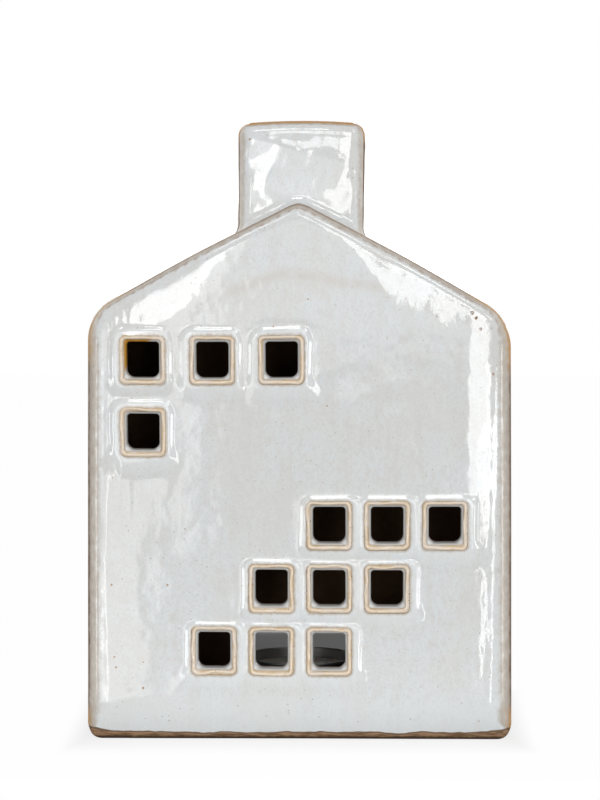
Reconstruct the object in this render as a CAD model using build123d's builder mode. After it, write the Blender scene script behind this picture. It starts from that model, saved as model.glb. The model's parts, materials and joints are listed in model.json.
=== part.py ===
"""A slab-built stoneware house for a tealight.

Two gable faces, two side walls, two roof slabs and a floor make the hollow house, and four more
slabs make the open chimney on its ridge. Thirteen window collars pass through the front face. A
tealight stands on the floor and goes in and out by the arched doorway in the back face.

Millimetres, +Z up, front towards -Y, origin at the middle of the underside.
"""

import os
from math import sqrt

from build123d import *

# House outline, seen from the front: eaves and ridge are where wall and roof would meet unrounded.
# The walls taper to the eaves. It is cut by hand, so the left eave stands higher than the right by
# the lean, and the roof bows out
base_width = 141.2
wall_taper = 2.0
eave_height = 139.7
eave_lean = 2.6
roof_rise = 37.9
roof_bow = 0.65
foot_radius = 5.0
eave_radius = 14.5
ridge_radius = 8.0

# House slabs
house_depth = 74.6
face_thickness = 6.0
side_thickness = 5.5
floor_thickness = 6.0
face_edge_radius = 4.5

# Chimney
chimney_width = 42.2
chimney_depth = 40.0
chimney_wall = 5.0
chimney_rise = 25.4
chimney_offset = 0.5
chimney_corner_radius = 4.2
chimney_rim_radius = 3.6
flue_ledge = 1.5

# Window collars
window_width = 11.2
window_height = 12.4
window_top_radius = 1.2
window_sill_radius = 2.6
collar_band = 1.9
collar_proud = 1.4
collar_corner_radius = 2.6
collar_slip = 0.05

# Upper windows: a row under the left eave, and one more below the first of them
upper_columns = 3
upper_edge_inset = 18.3
upper_eave_drop = 15.0
upper_gap_across = 7.85
upper_gap_down = 7.6

# Lower windows: rows near the right wall, each a step to the left of the row above
lower_rows = 3
lower_columns = 3
lower_edge_inset = 22.6
lower_floor_rise = 23.65
lower_gap_across = 4.05
lower_gap_down = 4.75

# Tealight
cup_base_radius = 18.4
cup_top_radius = 18.8
cup_height = 16.0
cup_foil = 0.4
cup_bead_radius = 0.4
cup_floor_gap = 0.1
candle_gap = 0.25
wax_height = 12.0
wax_edge_radius = 1.2
wick_radius = 0.75
wick_stand = 6.5
tab_radius = 6.5
tab_thickness = 0.4
neck_radius = 1.5
neck_height = 4.0
bore_gap = 0.05

# Doorway that the tealight passes
door_side_clearance = 3.8
door_shoulder_clearance = 1.5
door_edge_radius = 1.5

# The most that a rounded edge takes of the slab, corner or band that carries it
round_share = 0.9
crest_share = 0.45

# Heights, depths and planes that follow from those sizes
eave_width = base_width - wall_taper
ridge_height = eave_height + roof_rise
chimney_height = roof_rise + chimney_rise
overall_depth = house_depth + collar_proud
front_y = collar_proud - overall_depth / 2
back_y = front_y + house_depth
middle_y = (front_y + back_y) / 2
chamber_depth = house_depth - 2 * face_thickness
face_round = min(face_edge_radius, round_share * face_thickness, round_share * foot_radius)

front_plane = Plane.XZ.offset(-front_y)
chamber_plane = front_plane.offset(-face_thickness)
back_plane = Plane.XZ.offset(-back_y)
floor_plane = Plane.XY.offset(floor_thickness)
eave_plane = Plane.XY.offset(eave_height)

left_eave = Vector(-eave_width / 2, eave_height + eave_lean / 2)
right_eave = Vector(eave_width / 2, eave_height - eave_lean / 2)
ridge = Vector(0, ridge_height)

os.makedirs("parts", exist_ok=True)


def finish(builder, name):
    """Labels a finished piece and writes it."""
    builder.part.label = name
    export_step(builder.part, f"parts/{name}.step")


# Outlines of the house and of its chamber


def wall_point(eave, height):
    """The point of the outer wall line below an eave, at a height over the underside."""
    foot = Vector(eave.X * base_width / eave_width, 0)
    return foot + (eave - foot) * (height / eave.Y)


def gable_lines(bottom):
    """Draws the unrounded outline of the house down to a height."""
    Polyline(left_eave, wall_point(left_eave, bottom), wall_point(right_eave, bottom), right_eave)
    SagittaArc(right_eave, ridge, -roof_bow)
    SagittaArc(ridge, left_eave, -roof_bow)


with BuildSketch() as outline:
    with BuildLine():
        gable_lines(0)
    make_face()
    for corner, radius in (
        (wall_point(left_eave, 0), foot_radius),
        (wall_point(right_eave, 0), foot_radius),
        (left_eave, eave_radius),
        (right_eave, eave_radius),
        (ridge, ridge_radius),
    ):
        fillet(outline.vertices().sort_by_distance(corner)[0], radius)

with BuildSketch() as chamber_outline:
    with BuildLine():
        gable_lines(floor_thickness - side_thickness)
    make_face()
    offset(amount=-side_thickness)
    chamber_radius = max(eave_radius - side_thickness, side_thickness)
    for corner in (left_eave, right_eave):
        fillet(chamber_outline.vertices().sort_by_distance(corner)[0], chamber_radius)

with BuildPart() as house_block:
    with BuildSketch(front_plane):
        add(outline.sketch)
    extrude(amount=-house_depth)

# The ring of floor, walls and roof between the two faces, cut into slabs below
with BuildPart() as house_ring:
    with BuildSketch(chamber_plane):
        add(outline.sketch)
        add(chamber_outline.sketch, mode=Mode.SUBTRACT)
    extrude(amount=-chamber_depth)

# Floor
with BuildPart() as floor:
    add(house_ring.part)
    split(bisect_by=floor_plane, keep=Keep.BOTTOM)
finish(floor, "floor")


# Side walls on the floor, and roof slabs mitred to them and open under the chimney


def mitre_plane(eave):
    """The plane that parts a side wall from its roof slab, facing the roof."""
    down = (wall_point(eave, 0) - eave).normalized()
    up = (ridge - eave).normalized()
    facing = up - down
    return Plane(origin=(eave.X, 0, eave.Y), x_dir=(0, 1, 0), z_dir=(facing.X, 0, facing.Y))


for side, eave, half in (("left", left_eave, Keep.BOTTOM), ("right", right_eave, Keep.TOP)):
    with BuildPart() as side_wall:
        add(house_ring.part)
        split(bisect_by=floor_plane, keep=Keep.TOP)
        split(bisect_by=mitre_plane(eave), keep=Keep.BOTTOM)
        split(bisect_by=Plane.YZ, keep=half)
    finish(side_wall, f"{side}_wall")

    with BuildPart() as roof:
        add(house_ring.part)
        split(bisect_by=mitre_plane(eave), keep=Keep.TOP)
        split(bisect_by=Plane.YZ, keep=half)
        with BuildSketch(eave_plane):
            with Locations((chimney_offset, middle_y)):
                Rectangle(
                    chimney_width - 2 * (chimney_wall + flue_ledge),
                    chimney_depth - 2 * (chimney_wall + flue_ledge),
                )
        extrude(amount=chimney_height, mode=Mode.SUBTRACT)
    finish(roof, f"{side}_roof")

# Windows: their places in the front face and the shape of one
collar_width = window_width + 2 * collar_band
collar_height = window_height + 2 * collar_band
upper_step = Vector(collar_width + upper_gap_across, collar_height + upper_gap_down)
lower_step = Vector(collar_width + lower_gap_across, collar_height + lower_gap_down)
upper_first = left_eave + Vector(upper_edge_inset, -upper_eave_drop)
lower_last = Vector(base_width / 2 - lower_edge_inset, floor_thickness + lower_floor_rise)

upper_places = [upper_first + Vector(column * upper_step.X, 0) for column in range(upper_columns)]
upper_places.append(upper_first - Vector(0, upper_step.Y))
lower_places = [
    lower_last + Vector((column - row) * lower_step.X, (lower_rows - row) * lower_step.Y)
    for row in range(1, lower_rows + 1)
    for column in range(2 - lower_columns, 2)
]

with BuildSketch() as window:
    Rectangle(window_width, window_height)
    fillet(window.vertices().group_by(Axis.Y)[0], window_sill_radius)
    fillet(window.vertices().group_by(Axis.Y)[-1], window_top_radius)

# Front face, rounded along its outline and open where the collars pass
with BuildPart() as front_wall:
    with BuildSketch(front_plane):
        add(outline.sketch)
    extrude(amount=-face_thickness)
    front_edges = front_wall.faces().sort_by(Axis.Y)[0].edges()
    fillet(front_edges, face_round)
    with BuildSketch(front_plane):
        with Locations(*upper_places, *lower_places):
            RectangleRounded(
                collar_width + 2 * collar_slip,
                collar_height + 2 * collar_slip,
                collar_corner_radius + collar_slip,
            )
    extrude(amount=-face_thickness, mode=Mode.SUBTRACT)
finish(front_wall, "front_wall")


def window_collar(place, name):
    """One window collar, from the inner side of the front face to its rounded crest."""
    with BuildPart() as collar:
        with BuildSketch(chamber_plane):
            with Locations(place):
                RectangleRounded(collar_width, collar_height, collar_corner_radius)
                add(window.sketch, mode=Mode.SUBTRACT)
        extrude(amount=face_thickness + collar_proud)
        crest_edges = collar.faces().sort_by(Axis.Y)[0].edges()
        fillet(crest_edges, collar_band * crest_share)
    finish(collar, name)


for number, place in enumerate(upper_places, start=1):
    window_collar(place, f"window_rim_upper_{number}")
for number, place in enumerate(lower_places, start=1):
    window_collar(place, f"window_rim_lower_{number}")

# Back face with the arched doorway, which clears the tealight at its sides and shoulders
cup_rim_radius = cup_top_radius + cup_bead_radius
door_half_width = cup_rim_radius + door_side_clearance
door_shoulder = cup_rim_radius + door_shoulder_clearance
door_spring = floor_thickness + cup_height - sqrt(door_half_width**2 - door_shoulder**2)

with BuildPart() as back_wall:
    with BuildSketch(back_plane):
        add(outline.sketch)
    extrude(amount=face_thickness)
    back_edges = back_wall.faces().sort_by(Axis.Y)[-1].edges()
    fillet(back_edges, face_round)
    with BuildSketch(back_plane):
        with BuildLine():
            Polyline(
                (-door_half_width, door_spring),
                (-door_half_width, floor_thickness),
                (door_half_width, floor_thickness),
                (door_half_width, door_spring),
            )
            CenterArc((0, door_spring), door_half_width, 0, 180)
        make_face()
    extrude(amount=face_thickness, mode=Mode.SUBTRACT)
    door_edges = back_wall.faces().sort_by(Axis.Y)[-1].inner_wires().edges().sort_by(Axis.Z)[1:]
    fillet(door_edges, min(door_edge_radius, face_thickness * round_share))
finish(back_wall, "back_wall")

# Chimney: an open flue seated on the roof, cut into four slabs
with BuildPart() as chimney:
    with BuildSketch(eave_plane):
        with Locations((chimney_offset, middle_y)):
            RectangleRounded(chimney_width, chimney_depth, chimney_corner_radius)
    extrude(amount=chimney_height)
    rim_edges = chimney.faces().sort_by(Axis.Z)[-1].edges()
    fillet(rim_edges, min(chimney_rim_radius, chimney_corner_radius * round_share))
    with BuildSketch(eave_plane):
        with Locations((chimney_offset, middle_y)):
            Rectangle(chimney_width - 2 * chimney_wall, chimney_depth - 2 * chimney_wall)
    extrude(amount=chimney_height, mode=Mode.SUBTRACT)
    add(house_block.part, mode=Mode.SUBTRACT)

flue_half_depth = chimney_depth / 2 - chimney_wall
flue_front = Plane.XZ.offset(flue_half_depth - middle_y)
flue_back = Plane.XZ.offset(-flue_half_depth - middle_y)

with BuildPart() as chimney_front:
    add(chimney.part)
    split(bisect_by=flue_front, keep=Keep.TOP)
finish(chimney_front, "chimney_front")

with BuildPart() as chimney_back:
    add(chimney.part)
    split(bisect_by=flue_back, keep=Keep.BOTTOM)
finish(chimney_back, "chimney_back")

for side, half in (("left", Keep.BOTTOM), ("right", Keep.TOP)):
    with BuildPart() as chimney_side:
        add(chimney.part)
        split(bisect_by=flue_front, keep=Keep.BOTTOM)
        split(bisect_by=flue_back, keep=Keep.TOP)
        split(bisect_by=Plane.YZ.offset(chimney_offset), keep=half)
    finish(chimney_side, f"chimney_{side}")

# Tealight, turned about the axis of the doorway's middle; heights are over the cup's underside
cup_z = floor_thickness + cup_floor_gap
candle_z = cup_foil + cup_floor_gap
wax_top = candle_z + wax_height
tealight_plane = Plane(origin=(0, middle_y, cup_z), x_dir=(1, 0, 0), z_dir=(0, -1, 0))
tealight_axis = Axis((0, middle_y, cup_z), (0, 0, 1))


def cup_inside(height):
    """The radius inside the cup at a height, less the candle's clearance."""
    widening = (cup_top_radius - cup_base_radius) * height / cup_height
    return cup_base_radius + widening - cup_foil - candle_gap


with BuildPart() as tealight_cup:
    with BuildSketch(tealight_plane):
        with BuildLine():
            Polyline(
                (0, 0),
                (cup_base_radius, 0),
                (cup_top_radius, cup_height - cup_bead_radius),
                (cup_top_radius - cup_foil, cup_height - cup_bead_radius),
                (cup_base_radius - cup_foil, cup_foil),
                (0, cup_foil),
                close=True,
            )
        make_face()
        with Locations((cup_top_radius, cup_height - cup_bead_radius)):
            Circle(cup_bead_radius)
    revolve(axis=tealight_axis)
finish(tealight_cup, "tealight_cup")

with BuildPart() as candle_wax:
    with BuildSketch(tealight_plane) as wax_section:
        with BuildLine():
            Polyline(
                (wick_radius + bore_gap, candle_z + tab_thickness + neck_height + bore_gap),
                (neck_radius + bore_gap, candle_z + tab_thickness + neck_height + bore_gap),
                (neck_radius + bore_gap, candle_z + tab_thickness + bore_gap),
                (tab_radius + bore_gap, candle_z + tab_thickness + bore_gap),
                (tab_radius + bore_gap, candle_z),
                (cup_inside(candle_z), candle_z),
                (cup_inside(wax_top), wax_top),
                (wick_radius + bore_gap, wax_top),
                close=True,
            )
        make_face()
        wax_shoulder = wax_section.vertices().group_by(Axis.Y)[-1].sort_by(Axis.X)[-1]
        fillet(wax_shoulder, wax_edge_radius)
    revolve(axis=tealight_axis)
finish(candle_wax, "candle_wax")

with BuildPart() as wick_sustainer:
    with BuildSketch(tealight_plane):
        with BuildLine():
            Polyline(
                (wick_radius + bore_gap, candle_z),
                (tab_radius, candle_z),
                (tab_radius, candle_z + tab_thickness),
                (neck_radius, candle_z + tab_thickness),
                (neck_radius, candle_z + tab_thickness + neck_height),
                (wick_radius + bore_gap, candle_z + tab_thickness + neck_height),
                close=True,
            )
        make_face()
    revolve(axis=tealight_axis)
finish(wick_sustainer, "wick_sustainer")

with BuildPart() as candle_wick:
    with BuildSketch(Plane.XY.offset(cup_z + candle_z)):
        with Locations((0, middle_y)):
            Circle(wick_radius)
    extrude(amount=wax_height + wick_stand)
    fillet(candle_wick.faces().sort_by(Axis.Z)[-1].edges(), wick_radius * crest_share)
finish(candle_wick, "candle_wick")
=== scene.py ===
"""Looks of the tealight house: glazed stoneware slabs, tan window collars and the tealight inside.

Every mesh is made at the origin in the frame's own coordinates, in metres, so the glaze runs on from
slab to slab.
"""
import json
import math

import bmesh
import bpy
import numpy as np
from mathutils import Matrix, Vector
from mathutils.kdtree import KDTree
from mathutils.geometry import delaunay_2d_cdt

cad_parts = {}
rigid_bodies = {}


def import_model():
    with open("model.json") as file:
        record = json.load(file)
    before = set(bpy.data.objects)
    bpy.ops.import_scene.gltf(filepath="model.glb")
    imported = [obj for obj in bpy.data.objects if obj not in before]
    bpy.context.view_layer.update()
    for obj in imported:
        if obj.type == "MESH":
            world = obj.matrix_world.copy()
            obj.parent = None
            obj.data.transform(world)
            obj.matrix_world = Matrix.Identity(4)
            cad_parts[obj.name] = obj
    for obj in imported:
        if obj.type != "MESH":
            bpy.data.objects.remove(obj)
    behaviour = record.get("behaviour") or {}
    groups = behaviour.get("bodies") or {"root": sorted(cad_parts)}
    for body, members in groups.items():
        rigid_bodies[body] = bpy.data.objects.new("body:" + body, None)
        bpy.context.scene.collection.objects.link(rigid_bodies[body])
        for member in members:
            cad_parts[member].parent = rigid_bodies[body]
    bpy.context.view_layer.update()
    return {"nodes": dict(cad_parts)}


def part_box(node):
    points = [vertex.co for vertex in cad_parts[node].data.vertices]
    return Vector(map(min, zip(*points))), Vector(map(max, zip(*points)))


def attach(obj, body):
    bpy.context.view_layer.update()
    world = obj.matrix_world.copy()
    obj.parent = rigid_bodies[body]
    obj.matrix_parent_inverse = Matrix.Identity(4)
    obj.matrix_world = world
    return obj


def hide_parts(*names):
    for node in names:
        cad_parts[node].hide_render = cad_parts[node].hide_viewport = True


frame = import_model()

mm = 0.001

# House outline, as the slabs are cut
base_width = 141.2 * mm
wall_taper = 2.0 * mm
eave_height = 139.7 * mm
eave_lean = 2.6 * mm
roof_rise = 37.9 * mm
roof_bow = 0.65 * mm
foot_radius = 5.0 * mm
eave_radius = 14.5 * mm
ridge_radius = 8.0 * mm
side_thickness = 5.5 * mm
face_edge_radius = 4.5 * mm
foot_edge_radius = 1.3 * mm
flue_ledge = 1.5 * mm
front_lip = 0.95 * mm
lip_share, lip_lean_share, lip_eave_share = 0.25, 0.5, 0.6
apex_share = 0.35

# Places read from the frame
front_y, front_joint_y = (corner.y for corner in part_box("front_wall"))
back_joint_y, back_y = (corner.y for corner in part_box("back_wall"))
floor_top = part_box("floor")[1].z
crest_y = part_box("window_rim_upper_1")[0].y
chimney_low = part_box("chimney_front")[0]
chimney_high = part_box("chimney_back")[1]
flue_low = Vector((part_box("chimney_left")[1].x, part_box("chimney_left")[0].y))
flue_high = Vector((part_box("chimney_right")[0].x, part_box("chimney_right")[1].y))

# Mesh spacing and steps, and distances that count as none
outline_step = 1.0 * mm
arc_step = 0.7 * mm
depth_step = 1.5 * mm
face_step = 0.9 * mm
window_step = 0.5 * mm
edge_steps, sill_steps, shaft_steps, shoulder_steps, flue_steps = 12, 6, 60, 10, 14
turn_steps, wick_steps, strand_sides = 144, 90, 12
slack = 0.01 * mm
weld_distance = 0.002 * mm
sliver_width = 0.001 * mm

# Kinds of face: edges between different kinds stay sharp
OUTSIDE, INSIDE, JOINT = range(3)

# Corners of the outline where slabs meet
LEFT_FLOOR, RIGHT_FLOOR, RIGHT_EAVE, RIDGE, LEFT_EAVE = 0, 3, 4, 5, 6


def smoothstep(low, high, value):
    """0 below low, 1 above high, and a smooth rise between them."""
    share = np.clip((value - low) / (high - low), 0, 1)
    return share * share * (3 - 2 * share)


def ripple(points, size, seed, waves=28):
    """Smooth seeded noise of about unit height, with bumps of the given size or sizes along each axis."""
    rng = np.random.default_rng(seed)
    sizes = np.broadcast_to(size, points.shape[1])
    turns = rng.normal(size=(len(sizes), waves)) / sizes[:, None]
    phases = rng.uniform(0, 2 * math.pi, waves)
    return np.cos(points @ turns * 2 + phases).sum(axis=1) * math.sqrt(2 / waves)


def ripples(points, *rows):
    """The sum of some ripples, each given by its height, its size or sizes, and its seed."""
    return sum(height * ripple(points, size, seed) for height, size, seed in rows)


def pairs(first, second):
    """Places or directions from their two parts."""
    return np.stack([first, second], axis=-1)


def spokes(angles):
    """Directions at the given angles."""
    return pairs(np.cos(angles), np.sin(angles))


def unit(vectors):
    return vectors / np.linalg.norm(vectors, axis=-1, keepdims=True)


def right_hand(directions):
    """Directions turned a quarter to the right, which is outward on an outline that runs to the left."""
    return pairs(directions[..., 1], -directions[..., 0])


def centre_of(node):
    """The middle of a CAD node's box."""
    low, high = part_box(node)
    return (np.array(low) + np.array(high)) / 2


# House outline: x and z of points round it, their outward directions, and where the slabs meet

half_base = base_width / 2
half_eave = half_base - wall_taper / 2
left_eave = np.array([-half_eave, eave_height + eave_lean / 2])
right_eave = np.array([half_eave, eave_height - eave_lean / 2])
left_foot = np.array([-half_base, 0])
right_foot = np.array([half_base, 0])
ridge = np.array([0, eave_height + roof_rise])
left_floor = left_foot + (left_eave - left_foot) * floor_top / left_eave[1]
right_floor = right_foot + (right_eave - right_foot) * floor_top / right_eave[1]


def house_outline():
    """Points, outward directions and the numbers of the points at the corners."""
    corners = np.array([left_floor, left_foot, right_foot, right_floor, right_eave, ridge, left_eave])
    radii = np.array([0, foot_radius, foot_radius, 0, eave_radius, ridge_radius, eave_radius])
    ahead = unit(np.roll(corners, -1, axis=0) - corners)
    behind = np.roll(ahead, 1, axis=0)
    turns = np.arctan2(np.cross(behind, ahead), (behind * ahead).sum(axis=1))
    reach = radii * np.tan(turns / 2)
    points, facings, marks = [], [], []
    for n, corner in enumerate(corners):
        out = right_hand(behind[n])
        centre = corner - behind[n] * reach[n] - out * radii[n]
        count = 2 * math.ceil(radii[n] * turns[n] / (2 * arc_step)) + 1
        arc = spokes(math.atan2(out[1], out[0]) + turns[n] * np.linspace(0, 1, count))
        marks.append(sum(map(len, points)) + count // 2)
        following = (n + 1) % len(corners)
        start = corner + ahead[n] * reach[n]
        end = corners[following] - ahead[n] * reach[following]
        steps = max(1, round(np.linalg.norm(end - start) / outline_step))
        between = np.arange(1, steps)[:, None] / steps
        points += [centre + radii[n] * arc, start + (end - start) * between]
        facings += [arc, np.repeat(right_hand(ahead[n])[None], steps - 1, axis=0)]
    points, facings = np.concatenate(points), np.concatenate(facings)
    roof = slice(marks[RIGHT_EAVE], marks[LEFT_EAVE] + 1)
    along = np.abs(points[roof, :1]) / half_eave
    points[roof] += facings[roof] * roof_bow * (1 - np.cos(2 * math.pi * along)) / 2
    return points, facings, marks, roof


outline, outline_facings, outline_marks, roof_part = house_outline()


def edge_gaps(x, z):
    """How far a place lies inside the foot, right side, right roof, left roof and left side."""
    corners = np.array([left_foot, right_foot, right_eave, ridge, left_eave])
    inward = -right_hand(unit(np.roll(corners, -1, axis=0) - corners))
    return [(x - corner[0]) * face[0] + (z - corner[1]) * face[1] for corner, face in zip(corners, inward)]


def least(gaps, ease=1.5 * mm):
    """The least of some gaps, eased where two are alike."""
    return -ease * np.log(sum(np.exp(-gap / ease) for gap in gaps))


def loop_distance(places, loop):
    """How far each place lies from the nearest point of a loop."""
    share = np.linspace(0, 1, 7)[:-1, None, None]
    fine = (loop + (np.roll(loop, -1, axis=0) - loop) * share).reshape(-1, 2)
    tree = KDTree(len(fine))
    for number, (x, z) in enumerate(fine):
        tree.insert((x, z, 0), number)
    tree.balance()
    return np.array([tree.find((x, z, 0))[2] for x, z in places])


def proud_outline(lip):
    """The outline of a gable face that stands proud of the roof, most at the right, and peaks sharper."""
    places = outline.copy()
    if lip:
        facings = outline_facings[roof_part]
        across = np.clip(outline[roof_part, 0] / half_eave, -1, 1)
        proud = lip * (lip_share + lip_lean_share * across + lip_eave_share * np.abs(across))
        proud *= smoothstep(1.02, 0.85, np.abs(across))
        pitch = math.atan2(roof_rise, half_eave)
        turn = np.arctan2(np.abs(facings[:, 0]), facings[:, 1])
        peak = ridge_radius * (1 / np.cos(np.maximum(pitch - turn, 0)) - 1)
        places[roof_part] += facings * (proud + apex_share * peak)[:, None]
    return places


def roof_height(x):
    """The height of the roof's outside at each place across the house."""
    return np.interp(x, *outline[roof_part][::-1].T)


# Windows

rim_nodes = sorted(name for name in frame["nodes"] if name.startswith("window_rim"))
rim_centres = {node: centre_of(node)[[0, 2]] for node in rim_nodes}
rim_low, rim_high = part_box(rim_nodes[0])
rim_width = rim_high.x - rim_low.x
rim_height = rim_high.z - rim_low.z
rim_radius = 1.9 * mm
rim_band = 2.2 * mm
bead_share = 0.8
bead_radius = 0.9 * mm
bead_sag = 0.25 * mm
amber_window = "window_rim_upper_1"
rim_slip = 0.05 * mm
window_top_radius = 1.2 * mm
window_sill_radius = 2.6 * mm
upper_pad_reach = (2.9 * mm, 1.8 * mm, 2.6 * mm)
lower_pad_reach = (1.8 * mm, 2.9 * mm, 1.4 * mm)
pad_edge = 2.2 * mm
pad_run = 5.0 * mm
stacked_pad_run = 2.0 * mm
pad_height = 0.73 * mm
pad_corner_blend = 3.0 * mm
pad_side_blend = 4.0 * mm
pad_wander = (0.12 * mm, 8 * mm, 40)


def rounded_loop(width, height, low_radius, high_radius, corner_steps=9, side_steps=18):
    """Points round a rectangle with rounded corners, as many whatever its size."""
    arcs = []
    for x, z, radius, start in (
        (-1, -1, low_radius, math.pi),
        (1, -1, low_radius, 1.5 * math.pi),
        (1, 1, high_radius, 0),
        (-1, 1, high_radius, 0.5 * math.pi),
    ):
        centre = np.array([x * (width / 2 - radius), z * (height / 2 - radius)])
        arcs.append(centre + radius * spokes(start + np.linspace(0, math.pi / 2, corner_steps)))
    points = []
    for arc, following in zip(arcs, arcs[1:] + arcs[:1]):
        share = np.linspace(0, 1, side_steps + 1)[1:-1, None]
        points += [arc, arc[-1] + (following[0] - arc[-1]) * share]
    return np.concatenate(points)


def window_loop(inset, low_radius, high_radius):
    """A loop round a window, some way inside its collar."""
    return rounded_loop(rim_width - 2 * inset, rim_height - 2 * inset, low_radius, high_radius)


def window_distance(x, z, centre):
    """How far a place lies outside a window collar."""
    across = np.abs(x - centre[0]) - rim_width / 2 + rim_radius
    up = np.abs(z - centre[1]) - rim_height / 2 + rim_radius
    outside = np.hypot(np.maximum(across, 0), np.maximum(up, 0))
    return outside + np.minimum(np.maximum(across, up), 0) - rim_radius


def nearest_window(x, z):
    return np.min([window_distance(x, z, centre) for centre in rim_centres.values()], axis=0)


def pad_rise(x, z):
    """How far the glazed clay swells out round the windows, running out softly below each."""
    wander = ripples(pairs(x, z), pad_wander)
    centres = np.array(list(rim_centres.values()))
    rises = []
    for node, centre in rim_centres.items():
        left, right, top = upper_pad_reach if "upper" in node else lower_pad_reach
        across, up = x - centre[0], z - centre[1]
        corner = up - rim_height / 2 - np.abs(across) + rim_width / 2
        reach = left + (right - left) * smoothstep(-pad_side_blend, pad_side_blend, across)
        reach = reach + (top - reach) * smoothstep(-pad_corner_blend, pad_corner_blend, corner)
        beside, down = np.abs(centres[:, 0] - centre[0]), centre[1] - centres[:, 1]
        stacked = np.any((beside < rim_width / 2) & (down > rim_height / 2) & (down < 2 * rim_height))
        run = stacked_pad_run if stacked else pad_run
        below = smoothstep(pad_side_blend, -pad_run, up + rim_height / 2)
        start, end = (reach - pad_edge / 2) * (1 - below), reach + pad_edge / 2 + run * below
        distance = window_distance(x, z, centre) + wander
        rises.append(pad_height * (1 - smoothstep(start, end, distance)))
    return np.max(rises, axis=0)


# Surface shapes: the pillowed faces, their ripples, and the unevenness of the whole hand-built house

pillow_slope = 0.15
pillow_width = 14.5 * mm
peak_pillow_width = 4.0 * mm
pillow_power = 1.6
eave_narrowing = 4.0 * mm
flatter_share = 0.9
left_lean_start = 11.0 * mm
left_lean_shift = 45.0 * mm
left_lean = 0.00027 / mm
window_margin = 6 * mm

# Where a change across or up the front starts and ends
left_peak, right_peak = (28 * mm, 14 * mm), (34 * mm, 14 * mm)
right_eave_band = (36 * mm, 62 * mm)
flatter_eave, flatter_peak = (46 * mm, 22 * mm), (2 * mm, 14 * mm)
lean_shift_top, lean_shift_height = 90 * mm, 51 * mm
lean_shift_most, lean_shift_power = 1.4, 1.5
lean_fade = (162 * mm, 140 * mm)
drag_band = (50 * mm, 60 * mm)
settled_height = 25 * mm

# The line where two coats of glaze overlap
overlap_x = np.array([-27.0, -5.5, 10.0, 28.0]) * mm
overlap_z = np.array([146.5, 154.5, 152.2, 149.8]) * mm
overlap_width = 2.0 * mm
overlap_left, overlap_right = (-32 * mm, -22 * mm), (34 * mm, 24 * mm)

# Ripples: height, size or sizes, and seed
front_ripples = (
    (0.07 * mm, 26 * mm, 11),
    (0.02 * mm, 7 * mm, 12),
    (0.012 * mm, (6 * mm, 14 * mm), 13),
    (0.007 * mm, 3.2 * mm, 14),
    (0.006 * mm, (1.0 * mm, 1.4 * mm), 15),
)
drag_marks = (0.018 * mm, (1.1 * mm, 40 * mm), 16)
back_ripples = (0.10 * mm, 26 * mm, 21), (0.025 * mm, 7 * mm, 22)
foot_ripples = (0.16 * mm, 9 * mm, 31), (0.08 * mm, 2.2 * mm, 32)
chimney_ripples = (0.10 * mm, 9 * mm, 33), (0.05 * mm, (4 * mm, 4 * mm, 6 * mm), 34)
house_ripples = [(0.12 * mm, 70 * mm, seed) for seed in (1, 2, 3)]


def pillow(x, z):
    """How far a gable face falls back towards its edges, less steeply and widely near its peak."""
    foot, right, right_roof, left_roof, left = edge_gaps(x, z)
    peak = np.where(x < 0, smoothstep(*left_peak, -x), smoothstep(*right_peak, x))
    roof_width = pillow_width + (peak_pillow_width - pillow_width) * peak
    roof_width = roof_width - eave_narrowing * smoothstep(*right_eave_band, x)
    flatter = flatter_share * smoothstep(*flatter_eave, -x) * smoothstep(*flatter_peak, -x)
    falls = []
    for gap, width, slope in (
        (least([foot, right, left]), pillow_width, pillow_slope),
        (least([right_roof, left_roof]), roof_width, pillow_slope * (1 - flatter)),
    ):
        falls.append(slope * width / pillow_power * np.clip(1 - gap / width, 0, 1) ** pillow_power)
    return (falls[0] ** 4 + falls[1] ** 4) ** 0.25


def front_relief(x, z):
    """How far the front face lies behind its plane."""
    places = pairs(x, z)
    rough = ripples(places, *front_ripples)
    rough += ripples(places, drag_marks) * smoothstep(*drag_band, np.abs(x))
    clear = smoothstep(0, window_margin, nearest_window(x, z))
    shift = np.clip((lean_shift_top - z) / lean_shift_height, 0, lean_shift_most) ** lean_shift_power
    lean_start = left_lean_start + left_lean_shift * shift
    lean = left_lean * np.maximum(-x - lean_start, 0) ** 2 * smoothstep(*lean_fade, z)
    return pillow(x, z) - pad_rise(x, z) + lean + rough * clear


def back_relief(x, z):
    """How far the back face lies behind its plane."""
    return pillow(x, z) + ripples(pairs(x, z), *back_ripples)


def glaze_line(x, z):
    """1 along the faint line below the peak where two coats of glaze overlap, 0 away from it."""
    away = (z - np.interp(x, overlap_x, overlap_z)) / overlap_width
    return np.exp(-away ** 2) * smoothstep(*overlap_left, x) * smoothstep(*overlap_right, x)


def hand_built(points):
    """The points with the slight unevenness that the whole house shares."""
    shift = np.stack([ripples(points, row) for row in house_ripples], axis=1)
    shift[:, 2] *= smoothstep(0, settled_height, points[:, 2])
    return points + shift


# Materials


def tone(red, green, blue):
    """An sRGB colour, each part from 0 to 255, as the linear colour that a node takes."""
    parts = np.array([red, green, blue]) / 255
    linear = np.where(parts <= 0.04045, parts / 12.92, ((parts + 0.055) / 1.055) ** 2.4)
    return (*linear.tolist(), 1.0)


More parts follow.
